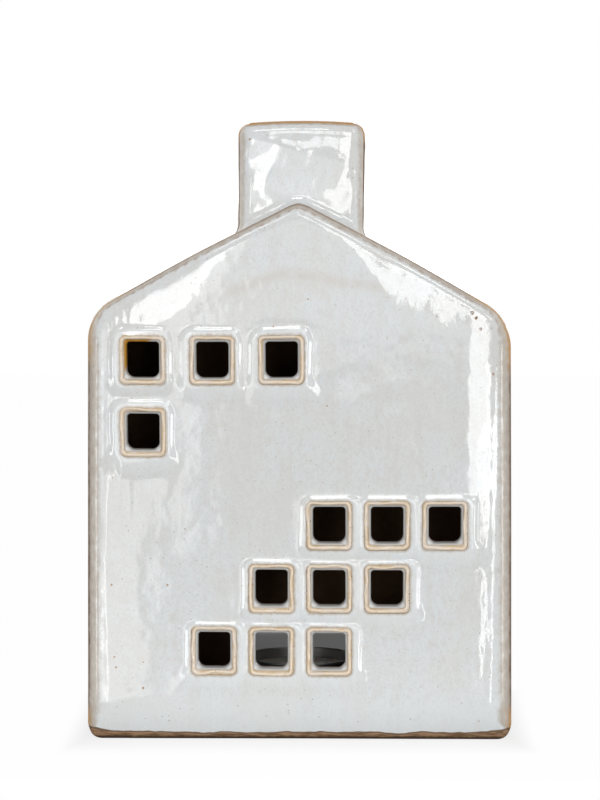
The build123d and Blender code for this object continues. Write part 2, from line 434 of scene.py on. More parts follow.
class Nodes:
    """Short ways to add the nodes of a material or of the world."""

    def __init__(self, tree):
        self.tree = tree

    def put(self, socket, value):
        if isinstance(value, bpy.types.NodeSocket):
            self.tree.links.new(value, socket)
        else:
            socket.default_value = value

    def add(self, kind, inputs=None, **settings):
        node = self.tree.nodes.new(kind)
        for name, value in settings.items():
            setattr(node, name, value)
        for name, value in (inputs or {}).items():
            self.put(node.inputs[name], value)
        return node

    def math(self, operation, *values):
        node = self.add("ShaderNodeMath", dict(enumerate(values)), operation=operation)
        return node.outputs["Value"]

    def times(self, share, *others):
        for other in others:
            share = self.math("MULTIPLY", share, other)
        return share

    def seen(self):
        """1 to camera, glossy and transmission rays, and 0 to the rest."""
        path = self.add("ShaderNodeLightPath").outputs
        share = self.math("MAXIMUM", path["Is Camera Ray"], path["Is Glossy Ray"])
        return self.math("MAXIMUM", share, path["Is Transmission Ray"])


class Finish(Nodes):
    """A procedural material."""

    def __init__(self, name, **settings):
        self.material = bpy.data.materials.new(name)
        self.material.use_nodes = True
        super().__init__(self.material.node_tree)
        self.shader = self.tree.nodes["Principled BSDF"]
        self.place = self.add("ShaderNodeTexCoord").outputs["Object"]
        self.set(**settings)

    def set(self, **inputs):
        for name, value in inputs.items():
            self.put(self.shader.inputs[name.replace("_", " ")], value)

    def axes(self):
        """Sockets of the place's x, y and z."""
        return self.add("ShaderNodeSeparateXYZ", {"Vector": self.place}).outputs

    def spread(self, *sizes):
        """Coordinates in which one unit is the given size along each axis."""
        scale = [1 / size for size in sizes]
        return self.add("ShaderNodeMapping", {"Vector": self.place, "Scale": scale}).outputs["Vector"]

    def noise(self, sizes, detail=3.0, roughness=0.55):
        inputs = {"Vector": self.spread(*sizes), "Scale": 1.0, "Detail": detail, "Roughness": roughness}
        return self.add("ShaderNodeTexNoise", inputs).outputs["Fac"]

    def paint(self, name):
        return self.add("ShaderNodeAttribute", attribute_name=name).outputs["Fac"]

    def nudge(self, share, noise, height):
        """The share, raised and lowered by a noise."""
        return self.math("MULTIPLY_ADD", self.math("SUBTRACT", noise, 0.5), height, share)

    def range(self, value, low, high, start=0.0, end=1.0):
        inputs = {"Value": value, "From Min": low, "From Max": high, "To Min": start, "To Max": end}
        return self.add("ShaderNodeMapRange", inputs, interpolation_type="SMOOTHSTEP").outputs["Result"]

    def mix(self, share, first, second):
        return self.add("ShaderNodeMix", {0: share, 6: first, 7: second}, data_type="RGBA").outputs[2]

    def layered(self, colour, *rows):
        """The colour under some layers, each with the share in which it covers those before it."""
        for share, layer in rows:
            colour = self.mix(share, colour, layer)
        return colour

    def specks(self, spacing, radius, share):
        """1 inside scattered round specks, which a share of the cells hold."""
        inputs = {"Vector": self.spread(spacing, spacing, spacing), "Scale": 1.0}
        cells = self.add("ShaderNodeTexVoronoi", inputs).outputs
        draw = self.add("ShaderNodeSeparateColor", {"Color": cells["Color"]}).outputs
        reach = self.times(draw["Green"], radius / spacing)
        spot = self.math("LESS_THAN", cells["Distance"], reach)
        return self.times(spot, self.math("LESS_THAN", draw["Red"], share))

    def round_spot(self, x, z, radius):
        """1 in the middle of a round spot at a place across and up on the front, 0 outside it."""
        deep = 0.05
        flat = self.add("ShaderNodeMapping", {"Vector": self.place, "Scale": (1, deep, 1)})
        inputs = {0: flat.outputs["Vector"], 1: (x, deep * front_y, z)}
        away = self.add("ShaderNodeVectorMath", inputs, operation="DISTANCE").outputs["Value"]
        return self.range(away, 1.2 * radius, 0.5 * radius)

    def bump(self, height, distance):
        return self.add("ShaderNodeBump", {"Height": height, "Distance": distance}).outputs["Normal"]


# Pits in the glaze at the right eave: across, up and radius
pits = (
    (56.6 * mm, 141.5 * mm, 0.8 * mm),
    (57.9 * mm, 139.8 * mm, 0.65 * mm),
    (59.4 * mm, 136.2 * mm, 0.6 * mm),
)


def glaze_finish():
    """Glossy white glaze over brown stoneware: streaked, specked, brown where it breaks over an edge. It
    also holds painted light near the foot, and painted shade along the side edges and at the very bottom
    of the bare foot.
    """
    finish = Finish("glaze_over_stoneware", IOR=1.5)
    runs = finish.noise((3.5 * mm, 3.5 * mm, 24 * mm), 4.0)
    clouds = finish.noise((24 * mm, 24 * mm, 28 * mm), 4.0, 0.6)
    mottle = finish.noise((2.2 * mm, 2.2 * mm, 3.0 * mm), 3.0, 0.6)
    grain = finish.noise((0.7 * mm, 0.7 * mm, 0.9 * mm), 2.0, 0.6)
    streaks = finish.noise((7 * mm, 7 * mm, 0.6 * mm), 3.0)
    fine = finish.noise((1.3 * mm, 1.3 * mm, 1.8 * mm), 2.0)
    thin, gable, warm, bare, overlap, pool_and_painted_light = map(
        finish.paint, ("thin", "gable", "warm", "bare", "overlap", "pool_and_painted_light")
    )
    pitted = 0.0
    for pit in pits:
        pitted = finish.math("MAXIMUM", pitted, finish.round_spot(*pit))
    patchy = finish.nudge(finish.nudge(thin, clouds, 0.4), mottle, 0.5)
    breaking = finish.times(finish.range(patchy, 0.12, 0.30), finish.range(patchy, 0.62, 0.36))
    breaking = finish.times(breaking, gable, finish.range(mottle, 0.40, 0.60, 0.1, 0.8))
    # Worn glaze at the edges, darkened further along the rounded side edges as painted shade
    worn_and_edge_shade = finish.mix(finish.range(mottle, 0.35, 0.65), tone(194, 188, 179), tone(182, 173, 162))
    bald = finish.mix(warm, tone(174, 164, 153), tone(186, 160, 128))
    brink = finish.mix(gable, tone(110, 88, 70), tone(156, 132, 112))
    brink = finish.mix(warm, brink, tone(190, 144, 94))
    height = finish.math("MULTIPLY_ADD", mottle, 1.2 * mm, finish.axes()["Z"])
    fired = finish.mix(finish.range(streaks, 0.40, 0.62), tone(158, 127, 98), tone(108, 82, 58))
    # Painted shade: the bare clay turns darkest in the lowest 1.2 mm, where the house meets the floor
    clay_with_foot_shade = finish.mix(finish.range(height, 1.2 * mm, 2.1 * mm), tone(74, 59, 46), fired)
    inner = finish.mix(mottle, tone(64, 48, 34), tone(86, 66, 48))
    finish.set(Base_Color=finish.layered(
        tone(213, 214, 212),
        (finish.range(clouds, 0.35, 0.65), tone(214, 218, 220)),
        (finish.times(overlap, finish.range(runs, 0.3, 0.6, 0.35, 0.9)), tone(203, 200, 195)),
        (finish.range(runs, 0.45, 0.75, 0.0, 0.45), tone(205, 204, 200)),
        (finish.range(mottle, 0.45, 0.75, 0.0, 0.45), tone(204, 203, 200)),
        (finish.range(grain, 0.42, 0.72, 0.0, 0.55), tone(201, 199, 195)),
        # Pooled glaze, lighter and bluer; near the foot this is also painted light
        (finish.times(pool_and_painted_light, 0.45), tone(231, 236, 238)),
        (finish.times(finish.specks(1.9 * mm, 0.30 * mm, 0.4), 0.45), tone(140, 122, 104)),
        (finish.times(finish.specks(9 * mm, 0.42 * mm, 0.4), 0.8), tone(156, 112, 66)),
        (finish.times(pitted, finish.range(grain, 0.3, 0.6)), tone(138, 104, 72)),
        (finish.range(patchy, 0.05, 0.60), worn_and_edge_shade),
        (breaking, tone(172, 153, 142)),
        (finish.range(patchy, 0.65, 1.0), bald),
        (finish.range(finish.nudge(thin, mottle, 0.09), 0.94, 1.0), brink),
        (finish.range(bare, 0.20, 0.35), tone(106, 80, 54)),
        (finish.range(bare, 0.58, 0.78), clay_with_foot_shade),
        (finish.range(bare, 0.99, 1.0), inner),
    ))
    dull = finish.math("MAXIMUM", finish.range(thin, 0.80, 0.98), finish.range(bare, 0.7, 1.0))
    dull = finish.math("MAXIMUM", dull, pitted)
    matt = finish.range(patchy, 0.3, 0.8, 0.07, 0.4)
    matt = finish.math("MAXIMUM", matt, finish.range(bare, 0.2, 0.7, 0.07, 0.75))
    finish.set(Specular_IOR_Level=finish.range(dull, 0.0, 1.0, 0.5, 0.05), Roughness=matt)
    finish.set(Normal=finish.bump(fine, 0.012 * mm))
    return finish.material


def rim_finish():
    """Tan bead where the glaze has drawn back from the collar's crest, white glaze beside it; the crest is
    painted lighter as a highlight and the bead's outer foot darker as a shade line.
    """
    finish = Finish("glaze_breaking_tan", IOR=1.5)
    mottle = finish.noise((1.1 * mm, 1.1 * mm, 1.1 * mm), 3.0, 0.6)
    patches = finish.noise((5 * mm, 5 * mm, 5 * mm), 3.0)
    bead, sunk, amber = map(finish.paint, ("bead", "sunk", "amber"))
    uneven = finish.nudge(bead, mottle, 0.6)
    body = finish.mix(finish.range(patches, 0.40, 0.60), tone(211, 187, 154), tone(219, 206, 192))
    # The bead's crest is painted lightest as a painted highlight, and its outer foot darkest as a painted
    # shade line
    tan = finish.layered(
        tone(220, 202, 178),
        (finish.range(mottle, 0.40, 0.70), tone(226, 215, 202)),
        (finish.range(uneven, 1.0, 1.16), body),
        (finish.specks(1.2 * mm, 0.3 * mm, 0.4), tone(168, 128, 94)),
        (finish.range(uneven, 1.28, 1.46), tone(178, 148, 120)),
    )
    inner = finish.mix(mottle, tone(66, 48, 32), tone(88, 66, 46))
    finish.set(Base_Color=finish.layered(
        tone(230, 230, 228),
        (amber, tone(222, 164, 70)),
        (finish.range(uneven, 0.35, 0.7), tan),
        (sunk, inner),
    ))
    matt = finish.math("MAXIMUM", finish.range(mottle, 0.3, 0.7, 0.1, 0.24), sunk)
    finish.set(Specular_IOR_Level=finish.range(sunk, 0.0, 1.0, 0.5, 0.02), Roughness=matt)
    finish.set(Normal=finish.bump(mottle, 0.03 * mm))
    return finish.material


def grained(name, sizes, detail, tones, gloss, bump=0, bump_size=None, **settings):
    """A material with one grain in its colour and gloss, and in its surface or with a finer one there."""
    finish = Finish(name, **settings)
    grain = finish.noise(sizes, detail)
    finish.set(Base_Color=finish.mix(grain, *tones), Roughness=finish.range(grain, 0.3, 0.7, *gloss))
    if bump:
        surface = finish.noise((bump_size, bump_size, bump_size)) if bump_size else grain
        finish.set(Normal=finish.bump(surface, bump))
    return finish.material


foil = grained(
    "pressed_aluminium", (6 * mm, 6 * mm, 0.25 * mm), 3.0,
    (tone(158, 158, 158), tone(184, 184, 184)), (0.36, 0.5), bump=0.02 * mm, Metallic=1.0,
)
wax = grained(
    "paraffin_wax", (5 * mm, 5 * mm, 5 * mm), 4.0,
    (tone(232, 228, 216), tone(243, 241, 233)), (0.32, 0.5), bump=0.05 * mm, bump_size=1.5 * mm,
    IOR=1.44, Subsurface_Weight=0.4, Subsurface_Scale=2 * mm,
)
cotton = grained(
    "waxed_cotton", (0.25 * mm, 0.25 * mm, 1.2 * mm), 4.0,
    (tone(206, 198, 178), tone(238, 233, 220)), (0.6, 0.85), bump=0.06 * mm,
)
steel = grained(
    "tinned_steel", (0.3 * mm, 4 * mm, 4 * mm), 3.0,
    (tone(168, 168, 170), tone(196, 196, 198)), (0.25, 0.42), Metallic=1.0,
)
glaze = glaze_finish()
rim_clay = rim_finish()

# Meshes


def make_piece(node, ending, points, faces, kinds, paint, material, slot, body="house"):
    """Makes the mesh that stands for a CAD node, and lets it ride on its body."""
    mesh = bpy.data.meshes.new(f"{node}_{ending}")
    mesh.from_pydata(np.asarray(points).tolist(), [], [list(map(int, face)) for face in faces])
    for title, values in paint.items():
        attribute = mesh.attributes.new(title, "FLOAT", "POINT")
        attribute.data.foreach_set("value", np.asarray(values, np.float32))
    work = bmesh.new()
    work.from_mesh(mesh)
    kind = work.faces.layers.int.new("kind")
    for face, value in zip(work.faces, kinds):
        face[kind] = value
        face.smooth = True
    bmesh.ops.remove_doubles(work, verts=work.verts, dist=weld_distance)
    bmesh.ops.dissolve_degenerate(work, edges=work.edges, dist=sliver_width)
    bmesh.ops.delete(work, geom=[vert for vert in work.verts if not vert.link_faces], context="VERTS")
    bmesh.ops.recalc_face_normals(work, faces=work.faces)
    for edge in work.edges:
        edge.smooth = len({face[kind] for face in edge.link_faces}) == 1
    work.to_mesh(mesh)
    work.free()
    mesh.materials.append(material)
    piece = bpy.data.objects.new(mesh.name, mesh)
    bpy.context.scene.collection.objects.link(piece)
    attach(piece, body)
    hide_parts(node)


def make_glazed(node, points, faces, kinds, paint):
    """Makes a glazed piece of the house."""
    make_piece(node, "glazed", hand_built(points), faces, kinds, paint, glaze, "glaze")


def slab(outer, inner, keep):
    """Points, faces and kinds of a slab between two grids of points, open where a cell isn't kept."""
    far = outer.shape[0] * outer.shape[1]
    number = np.arange(far).reshape(outer.shape[:2])
    corners, neighbours = ((0, 0), (1, 0), (1, 1), (0, 1)), ((1, 0), (2, 1), (1, 2), (0, 1))
    kept = np.pad(keep, 1)
    faces, kinds = [], []
    for row, column in np.argwhere(keep):
        ring = [number[row + down, column + over] for down, over in corners]
        faces += [ring, [corner + far for corner in ring]]
        kinds += [OUTSIDE, INSIDE]
        for first, second, (down, over) in zip(ring, ring[1:] + ring[:1], neighbours):
            if not kept[row + down, column + over]:
                faces.append([first, second, second + far, first + far])
                kinds.append(JOINT)
    return np.concatenate([outer.reshape(-1, 3), inner.reshape(-1, 3)]), faces, kinds


def band(first, second):
    """Faces between two closed rows of point numbers."""
    return np.stack([first, np.roll(first, -1), np.roll(second, -1), second], axis=1).tolist()


def loft(sections, ring_kinds, closed):
    """Points, faces and kinds of a solid through a row of closed sections."""
    number = np.arange(sections.shape[0] * sections.shape[1]).reshape(sections.shape[:2])
    following = np.roll(number, -1, axis=0) if closed else number[1:]
    faces, kinds = [], []
    for first, second in zip(number, following):
        faces += band(first, second)
        kinds += ring_kinds
    if not closed:
        faces += [list(number[0]), list(number[-1])]
        kinds += [JOINT, JOINT]
    return sections.reshape(-1, 3), faces, kinds


def fill(loops, spots):
    """Triangles inside the first of some loops and outside the others, through the given spots."""
    edges, owner, start = [], [], 0
    for name, loop in enumerate(loops):
        count = len(loop)
        edges += [(start + n, start + (n + 1) % count) for n in range(count)]
        owner += [name] * count
        start += count
    owner = np.array(owner + [0] * len(spots))
    places = [Vector(place) for place in np.concatenate([*loops, spots])]
    inside_only, tolerance = 1, 1e-9
    _, _, faces, origins, _, _ = delaunay_2d_cdt(places, edges, [], inside_only, tolerance)
    triangles = np.array([[origins[corner][0] for corner in face] for face in faces])
    owners = owner[triangles]
    in_hole = (owners[:, 0] > 0) & (owners == owners[:, :1]).all(axis=1)
    return triangles[~in_hole]


# Glaze: how it breaks thin over edges, pools, and leaves the clay bare, with painted shade along the side
# edges and painted light near the foot

wear_start = 0.1 * mm
# How far in from the side edges the glaze is painted thinner and darker: worn glaze and painted shade of
# the rounded edge
side_wear_and_shade = 6.2 * mm
roof_wear = 2.3 * mm
foot_wear = (0.2 * mm, 2.5 * mm)
foot_bare = 2.3 * mm
foot_bare_corner = 1.2 * mm
# Near the foot the glaze is painted lighter and bluer: pooled glaze, and painted light on the lower face
foot_pool_and_painted_light = (20 * mm, 6 * mm)
warm_reach = 20.0 * mm
warm_corners = ((left_eave, 1), (right_eave, 1), (left_foot, 1.5), (right_foot, 1.5))
gable_start, gable_end = eave_height - 12 * mm, eave_height + 4 * mm
collar_edge = (1.2 * mm, 0.1 * mm)
pad_pool_share = 0.6
edge_ease = 0.5 * mm
least_depth = 0.1 * mm
foot_band = (30 * mm, 20 * mm)
edge_gap_share, hole_gap_share, jitter_share = 0.3, 0.4, 0.08


def glaze_paint(points, inside, edge=0.0, warm=0.0, loop=outline):
    """Per point, from 0 to 1: thin glaze, which along the side edges also stands for painted shade,
    whether it is thin over the roof, whether it breaks to warm tan rather than brown, pooled glaze, which
    near the foot also stands for painted light, and bare clay.
    """
    x, y, z = points.T
    places = pairs(x, z)
    behind = np.maximum(np.minimum(y - front_y, back_y - y) - face_edge_radius, 0)
    near = behind < side_wear_and_shade
    inset = np.zeros(len(points))
    inset[near] = loop_distance(places[near], loop)
    gable = smoothstep(gable_start, gable_end, z) * near
    wear_end = side_wear_and_shade + (roof_wear - side_wear_and_shade) * gable
    thin = (1 - smoothstep(wear_start, wear_end, inset + behind)) * smoothstep(*foot_wear, z - inset)
    away = np.min([scale * np.hypot(*(places - corner).T) for corner, scale in warm_corners], axis=0)
    tan = np.maximum(1 - smoothstep(warm_reach / 2, warm_reach, away), warm)
    bare_height = foot_bare + foot_bare_corner * smoothstep(0.8, 1.0, np.abs(x) / half_base)
    glazed = smoothstep(0.7, 1.3, (z + ripples(points, *foot_ripples)) / bare_height)
    return {
        "thin": np.maximum(thin, edge),
        "gable": gable,
        "warm": tan,
        "pool_and_painted_light": smoothstep(*foot_pool_and_painted_light, z),
        "bare": np.maximum(inside, 0.95 - 0.95 * glazed),
    }


def face_slab(node, face_y, joint_y, relief, lip, holes, spots, hole_round):
    """A gable face: its rounded edge, its relief, its holes and the flat joint behind it."""
    outward = math.copysign(1, face_y - joint_y)
    thickness = abs(face_y - joint_y)
    foot = smoothstep(0.3, 0.9, -outline_facings[:, 1])
    radius = face_edge_radius - edge_ease + (foot_edge_radius - face_edge_radius) * foot
    brink = proud_outline(lip)
    points, faces, kinds, inside = [], [], [], []

    def place(places, depths, within=0.0):
        """Adds points at some depth behind the face, and gives their numbers."""
        start = sum(map(len, points))
        y = face_y - outward * np.broadcast_to(depths, len(places))
        points.append(np.column_stack([places[:, 0], y, places[:, 1]]))
        inside.append(np.full(len(places), within))
        return start + np.arange(len(places))

    def join(first, second, kind=OUTSIDE):
        """Adds the faces between two rows of points, and gives the second."""
        faces.extend(band(first, second))
        kinds.extend([kind] * len(first))
        return second

    rings = []
    for share in np.linspace(0, 1, 5)[1:-1]:
        places = outline + (brink - outline) * smoothstep(0, 1, share)
        rings.append((places, thickness + (radius - thickness) * share))
    for angle in np.linspace(0, math.pi / 2, edge_steps):
        places = brink - outline_facings * (radius * (1 - math.cos(angle)))[:, None]
        rings.append((places, radius * (1 - math.sin(angle))))
    rim = joint_rim = place(outline, thickness)
    for places, depths in rings:
        rim = join(rim, place(places, np.minimum(depths + relief(*places.T), thickness - least_depth)))
    loops, numbers = [rings[-1][0]], [rim]
    joint_loops, joint_numbers = [outline], [joint_rim]
    for hole, spread in holes:
        wide = hole + spread * hole_round
        sunk = relief(*wide.T)
        loop = place(wide, sunk)
        loops.append(wide)
        numbers.append(loop)
        for angle in np.linspace(0, math.pi / 2, sill_steps)[1:] if hole_round else ():
            places = hole + spread * hole_round * (1 - math.sin(angle))
            loop = join(loop, place(places, sunk + hole_round * (1 - math.cos(angle)), 0.2))
        joint_loops.append(hole)
        joint_numbers.append(join(loop, place(hole, thickness, 1.0), OUTSIDE if hole_round else JOINT))
    numbers.append(place(spots, relief(*spots.T)))
    front = np.concatenate(numbers)[fill(loops, spots)]
    back = np.concatenate(joint_numbers)[fill(joint_loops, np.zeros((0, 2)))]
    faces += [*front, *back]
    kinds += [OUTSIDE] * len(front) + [INSIDE] * len(back)
    points, inside = np.concatenate(points), np.concatenate(inside)
    x, y, z = points.T
    at_joint = 1.0 * (np.abs(y - joint_y) < slack)
    edge = 0.5 * smoothstep(*collar_edge, nearest_window(x, z)) if lip else 0.0
    paint = glaze_paint(points, np.maximum(inside, at_joint), edge, loop=brink)
    if lip:
        pads = pad_pool_share * smoothstep(0, pad_height, pad_rise(x, z))
        paint["pool_and_painted_light"] = np.maximum(paint["pool_and_painted_light"], pads)
        paint["overlap"] = glaze_line(x, z)
    make_glazed(node, points, faces, kinds, paint)


def face_spots(spacing, holes_clear):
    """A jittered grid of places over a gable face, clear of its edge and its holes."""
    rng = np.random.default_rng(5)
    columns = np.arange(-half_base, half_base, spacing)
    rows = np.arange(0, ridge[1], spacing * math.sqrt(3) / 2)
    x, z = np.meshgrid(columns, rows)
    x[::2] += spacing / 2
    places = pairs(x.ravel(), z.ravel())
    places += rng.uniform(-jitter_share, jitter_share, places.shape) * spacing
    x, z = places.T
    near_foot = (face_edge_radius - foot_edge_radius) * smoothstep(*foot_band, z)
    inset = least(edge_gaps(x, z + near_foot))
    clear = inset > face_edge_radius + edge_gap_share * spacing
    return places[clear & holes_clear(places, spacing)]


# Window collars

# Share of the way in from the collar's edge, how far it stands out in mm, and how far it is a bare bead,
# where 1 on the crest is painted lighter as a highlight and values towards 1.4 at the outer foot are
# painted darker as a shade line
rim_profile = (
    (-0.03, 0.3, 1.4), (0, 0.62, 1.35), (0.05, 0.92, 1.25), (0.12, 1.17, 1.15), (0.21, 1.34, 1.05),
    (0.31, 1.4, 1), (0.42, 1.34, 1.05), (0.52, 1.18, 1.12), (0.6, 0.95, 1.2), (0.65, 0.68, 1.25),
    (0.69, 0.4, 0.8), (0.73, 0.15, 0), (0.79, -0.1, 0), (0.86, -0.42, 0), (0.93, -0.9, 0), (0.98, -1.8, 0),
    (1, -3, 0), (1, -6, 0), (0.5, -6, 0), (0, -6, 0), (0, -1.5, 0),
)
rim_outside = 17
rim_crest = max(proud for _, proud, _ in rim_profile) * mm
bead_wander, bead_wander_size = 0.16 * mm, 5 * mm
bead_swell, bead_swell_size = 0.10 * mm, 3 * mm
sunk_depth = (2.2 * mm, 4.2 * mm)
amber_band = (2 * mm, 5 * mm)


def window_collar(node):
    """A rounded bead round a window, running back through the front face as the window's lining."""
    seed = rim_nodes.index(node)
    centre = rim_centres[node]
    outer = window_loop(0, rim_radius, rim_radius)
    middle = window_loop(rim_band * bead_share, bead_radius, bead_radius) + [0, bead_sag]
    inner = window_loop(rim_band, window_sill_radius, window_top_radius)
    wander = pairs(*(ripples(outer, (bead_wander, bead_wander_size, first + seed)) for first in (60, 80)))
    swell = ripples(outer, (bead_swell, bead_swell_size, 100 + seed))
    rings = []
    for share, proud, _ in rim_profile:
        loose = smoothstep(0.5, 1.2, proud)
        if share < bead_share:
            loop = outer + (middle - outer) * share / bead_share
        else:
            loop = middle + (inner - middle) * (share - bead_share) / (1 - bead_share)
        places = centre + loop + wander * loose
        stretch = (front_y - crest_y) / rim_crest if proud > 0 else 1
        y = front_y - proud * mm * stretch - swell * loose
        rings.append(np.column_stack([places[:, 0], y, places[:, 1]]))
    kinds = [OUTSIDE] * rim_outside + [JOINT] * (len(rim_profile) - rim_outside)
    points, faces, kinds = loft(np.stack(rings, axis=1), kinds, True)
    x, y, z = points.T
    towards_left = (z - centre[1]) - 1.2 * (x - centre[0])
    paint = {
        "bead": np.tile([bead for _, _, bead in rim_profile], len(outer)),
        "sunk": smoothstep(*sunk_depth, y - front_y),
        "amber": smoothstep(*amber_band, towards_left) * (node == amber_window),
    }
    make_piece(node, "fired", hand_built(points), faces, kinds, paint, rim_clay, "rim_clay")


# Walls, roof and floor between the two gable faces

hole_low = np.array(flue_low) + flue_ledge
hole_high = np.array(flue_high) - flue_ledge
plumb_band = (60 * mm, 24 * mm)


def depth_rows():
    """Depths of the mesh rows from the front joint to the back one, among them the flue hole's edges."""
    stops = [front_joint_y, hole_low[1], hole_high[1], back_joint_y]
    rows = [np.linspace(a, b, round((b - a) / depth_step) + 1)[:-1] for a, b in zip(stops, stops[1:])]
    return np.concatenate([*rows, [back_joint_y]])


ring_depths = depth_rows()


def ring_slab(node, first, last, lining, hole=False):
    """A slab of the ring between the faces, from one corner of the outline to another."""
    end = outline_marks[last] if last else len(outline)
    numbers = np.arange(outline_marks[first], end + 1) % len(outline)
    outside = outline[numbers].copy()
    keep = np.ones((len(numbers) - 1, len(ring_depths) - 1), bool)
    if hole:
        edge = hole_high[0] if outside[:, 0].max() > hole_high[0] else hole_low[0]
        outside[np.abs(outside[:, 0] - edge).argmin()] = edge, roof_height(edge)
        open_rows = np.abs(outside[:, 0]) <= abs(edge) + slack
        open_columns = (ring_depths >= hole_low[1] - slack) & (ring_depths <= hole_high[1] + slack)
        keep &= ~np.outer(open_rows[:-1] & open_rows[1:], open_columns[:-1] & open_columns[1:])
    grids = []
    for places in (outside, lining(outside, outline_facings[numbers])):
        grids.append(np.stack(np.broadcast_arrays(places[:, :1], ring_depths, places[:, 1:]), axis=2))
    points, faces, kinds = slab(*grids, keep)
    paint = glaze_paint(points, np.repeat([0.0, 1.0], len(points) // 2))
    make_glazed(node, points, faces, kinds, paint)


def wall_lining(places, facings):
    return places - facings * side_thickness


def floor_lining(places, facings):
    """The flat top of the floor slab, as many points as its outside, just short of its ends."""
    share = np.linspace(0.003, 0.997, len(places))[:, None]
    return places[0] + (places[-1] - places[0]) * share


def roof_lining(places, facings):
    """The inside of a roof slab, square to it at the eave and plumb below the chimney."""
    plumb = smoothstep(*plumb_band, np.abs(places[:, 0]))[:, None]
    slide = facings[:, :1] / facings[:, 1:] * side_thickness
    return places - facings * side_thickness + right_hand(facings) * slide * plumb


# Chimney

chimney_corner_radius = 4.2 * mm
chimney_rim_radius = 4.0 * mm
chimney_flare = 2.2 * mm
flare_height = 4.5 * mm
chimney_pillow = 1.1 * mm
chimney_pillow_side = 0.4 * mm
chimney_pillow_width = 14.0 * mm
crown_height = 9.5 * mm
crown_tilt = 0.3
crown_lean = 1.7 * mm
crown_arch = 1.0 * mm
crown_tan = (8 * mm, 2 * mm)
lip_round = 0.7 * mm
flue_corner = 2 * mm
foot_sink = 0.5 * mm
ripple_band = (1 * mm, 5 * mm)
side_wear_share = 0.1


def chimney_outside(start, end, bend):
    """Points and outward directions along the outside of one chimney slab, from start to end.

    A slab with a bend reaches out to it, and takes the two rounded corners between its ends.
    """
    start, end = np.array(start), np.array(end)
    if bend is None:
        share = np.linspace(0, 1, 40)[:, None]
        facing = [math.copysign(1, start[0]), 0.0]
        return start + (end - start) * share, np.repeat([facing], len(share), axis=0)
    radius = chimney_corner_radius
    out = math.copysign(1, bend - start[1])
    first_arc = spokes(np.linspace(0, math.pi / 2, 9)) * [-1, out]
    second_arc = first_arc[::-1] * [-1, 1]
    first = np.array([start[0] + radius, bend - out * radius])
    second = np.array([end[0] - radius, bend - out * radius])
    share = np.linspace(0, 1, 54)[1:-1, None]
    flat = first + radius * first_arc[-1] + (second - first) * share
    ahead = np.repeat(first_arc[-1:], len(flat), axis=0)
    places = [[start], first + radius * first_arc, flat, second + radius * second_arc, [end]]
    facings = [first_arc[:1], first_arc, ahead, second_arc, second_arc[-1:]]
    return np.concatenate(places), np.concatenate(facings)


def chimney_relief(places, facings, z):
    """How the chimney's outside is moved: pillowed to its corners, leaning back at its crown, rippled."""
    across = np.minimum(places - np.array(chimney_low)[:2], np.array(chimney_high)[:2] - places)
    fall = np.clip(1 - across[:, ::-1] / chimney_pillow_width, 0, 1) ** 2
    crease = chimney_high.z - crown_height - crown_tilt * places[:, 0]
    lean = crown_lean * np.clip((z - crease) / (chimney_high.z - crease), 0, 1) ** 1.5
    rough = ripples(np.column_stack([places, z]), *chimney_ripples)
    rough *= smoothstep(*ripple_band, np.max(across, axis=1))
    moves = rough[:, None] - fall * [chimney_pillow_side, chimney_pillow]
    moves[:, 1] -= lean
    return facings * moves


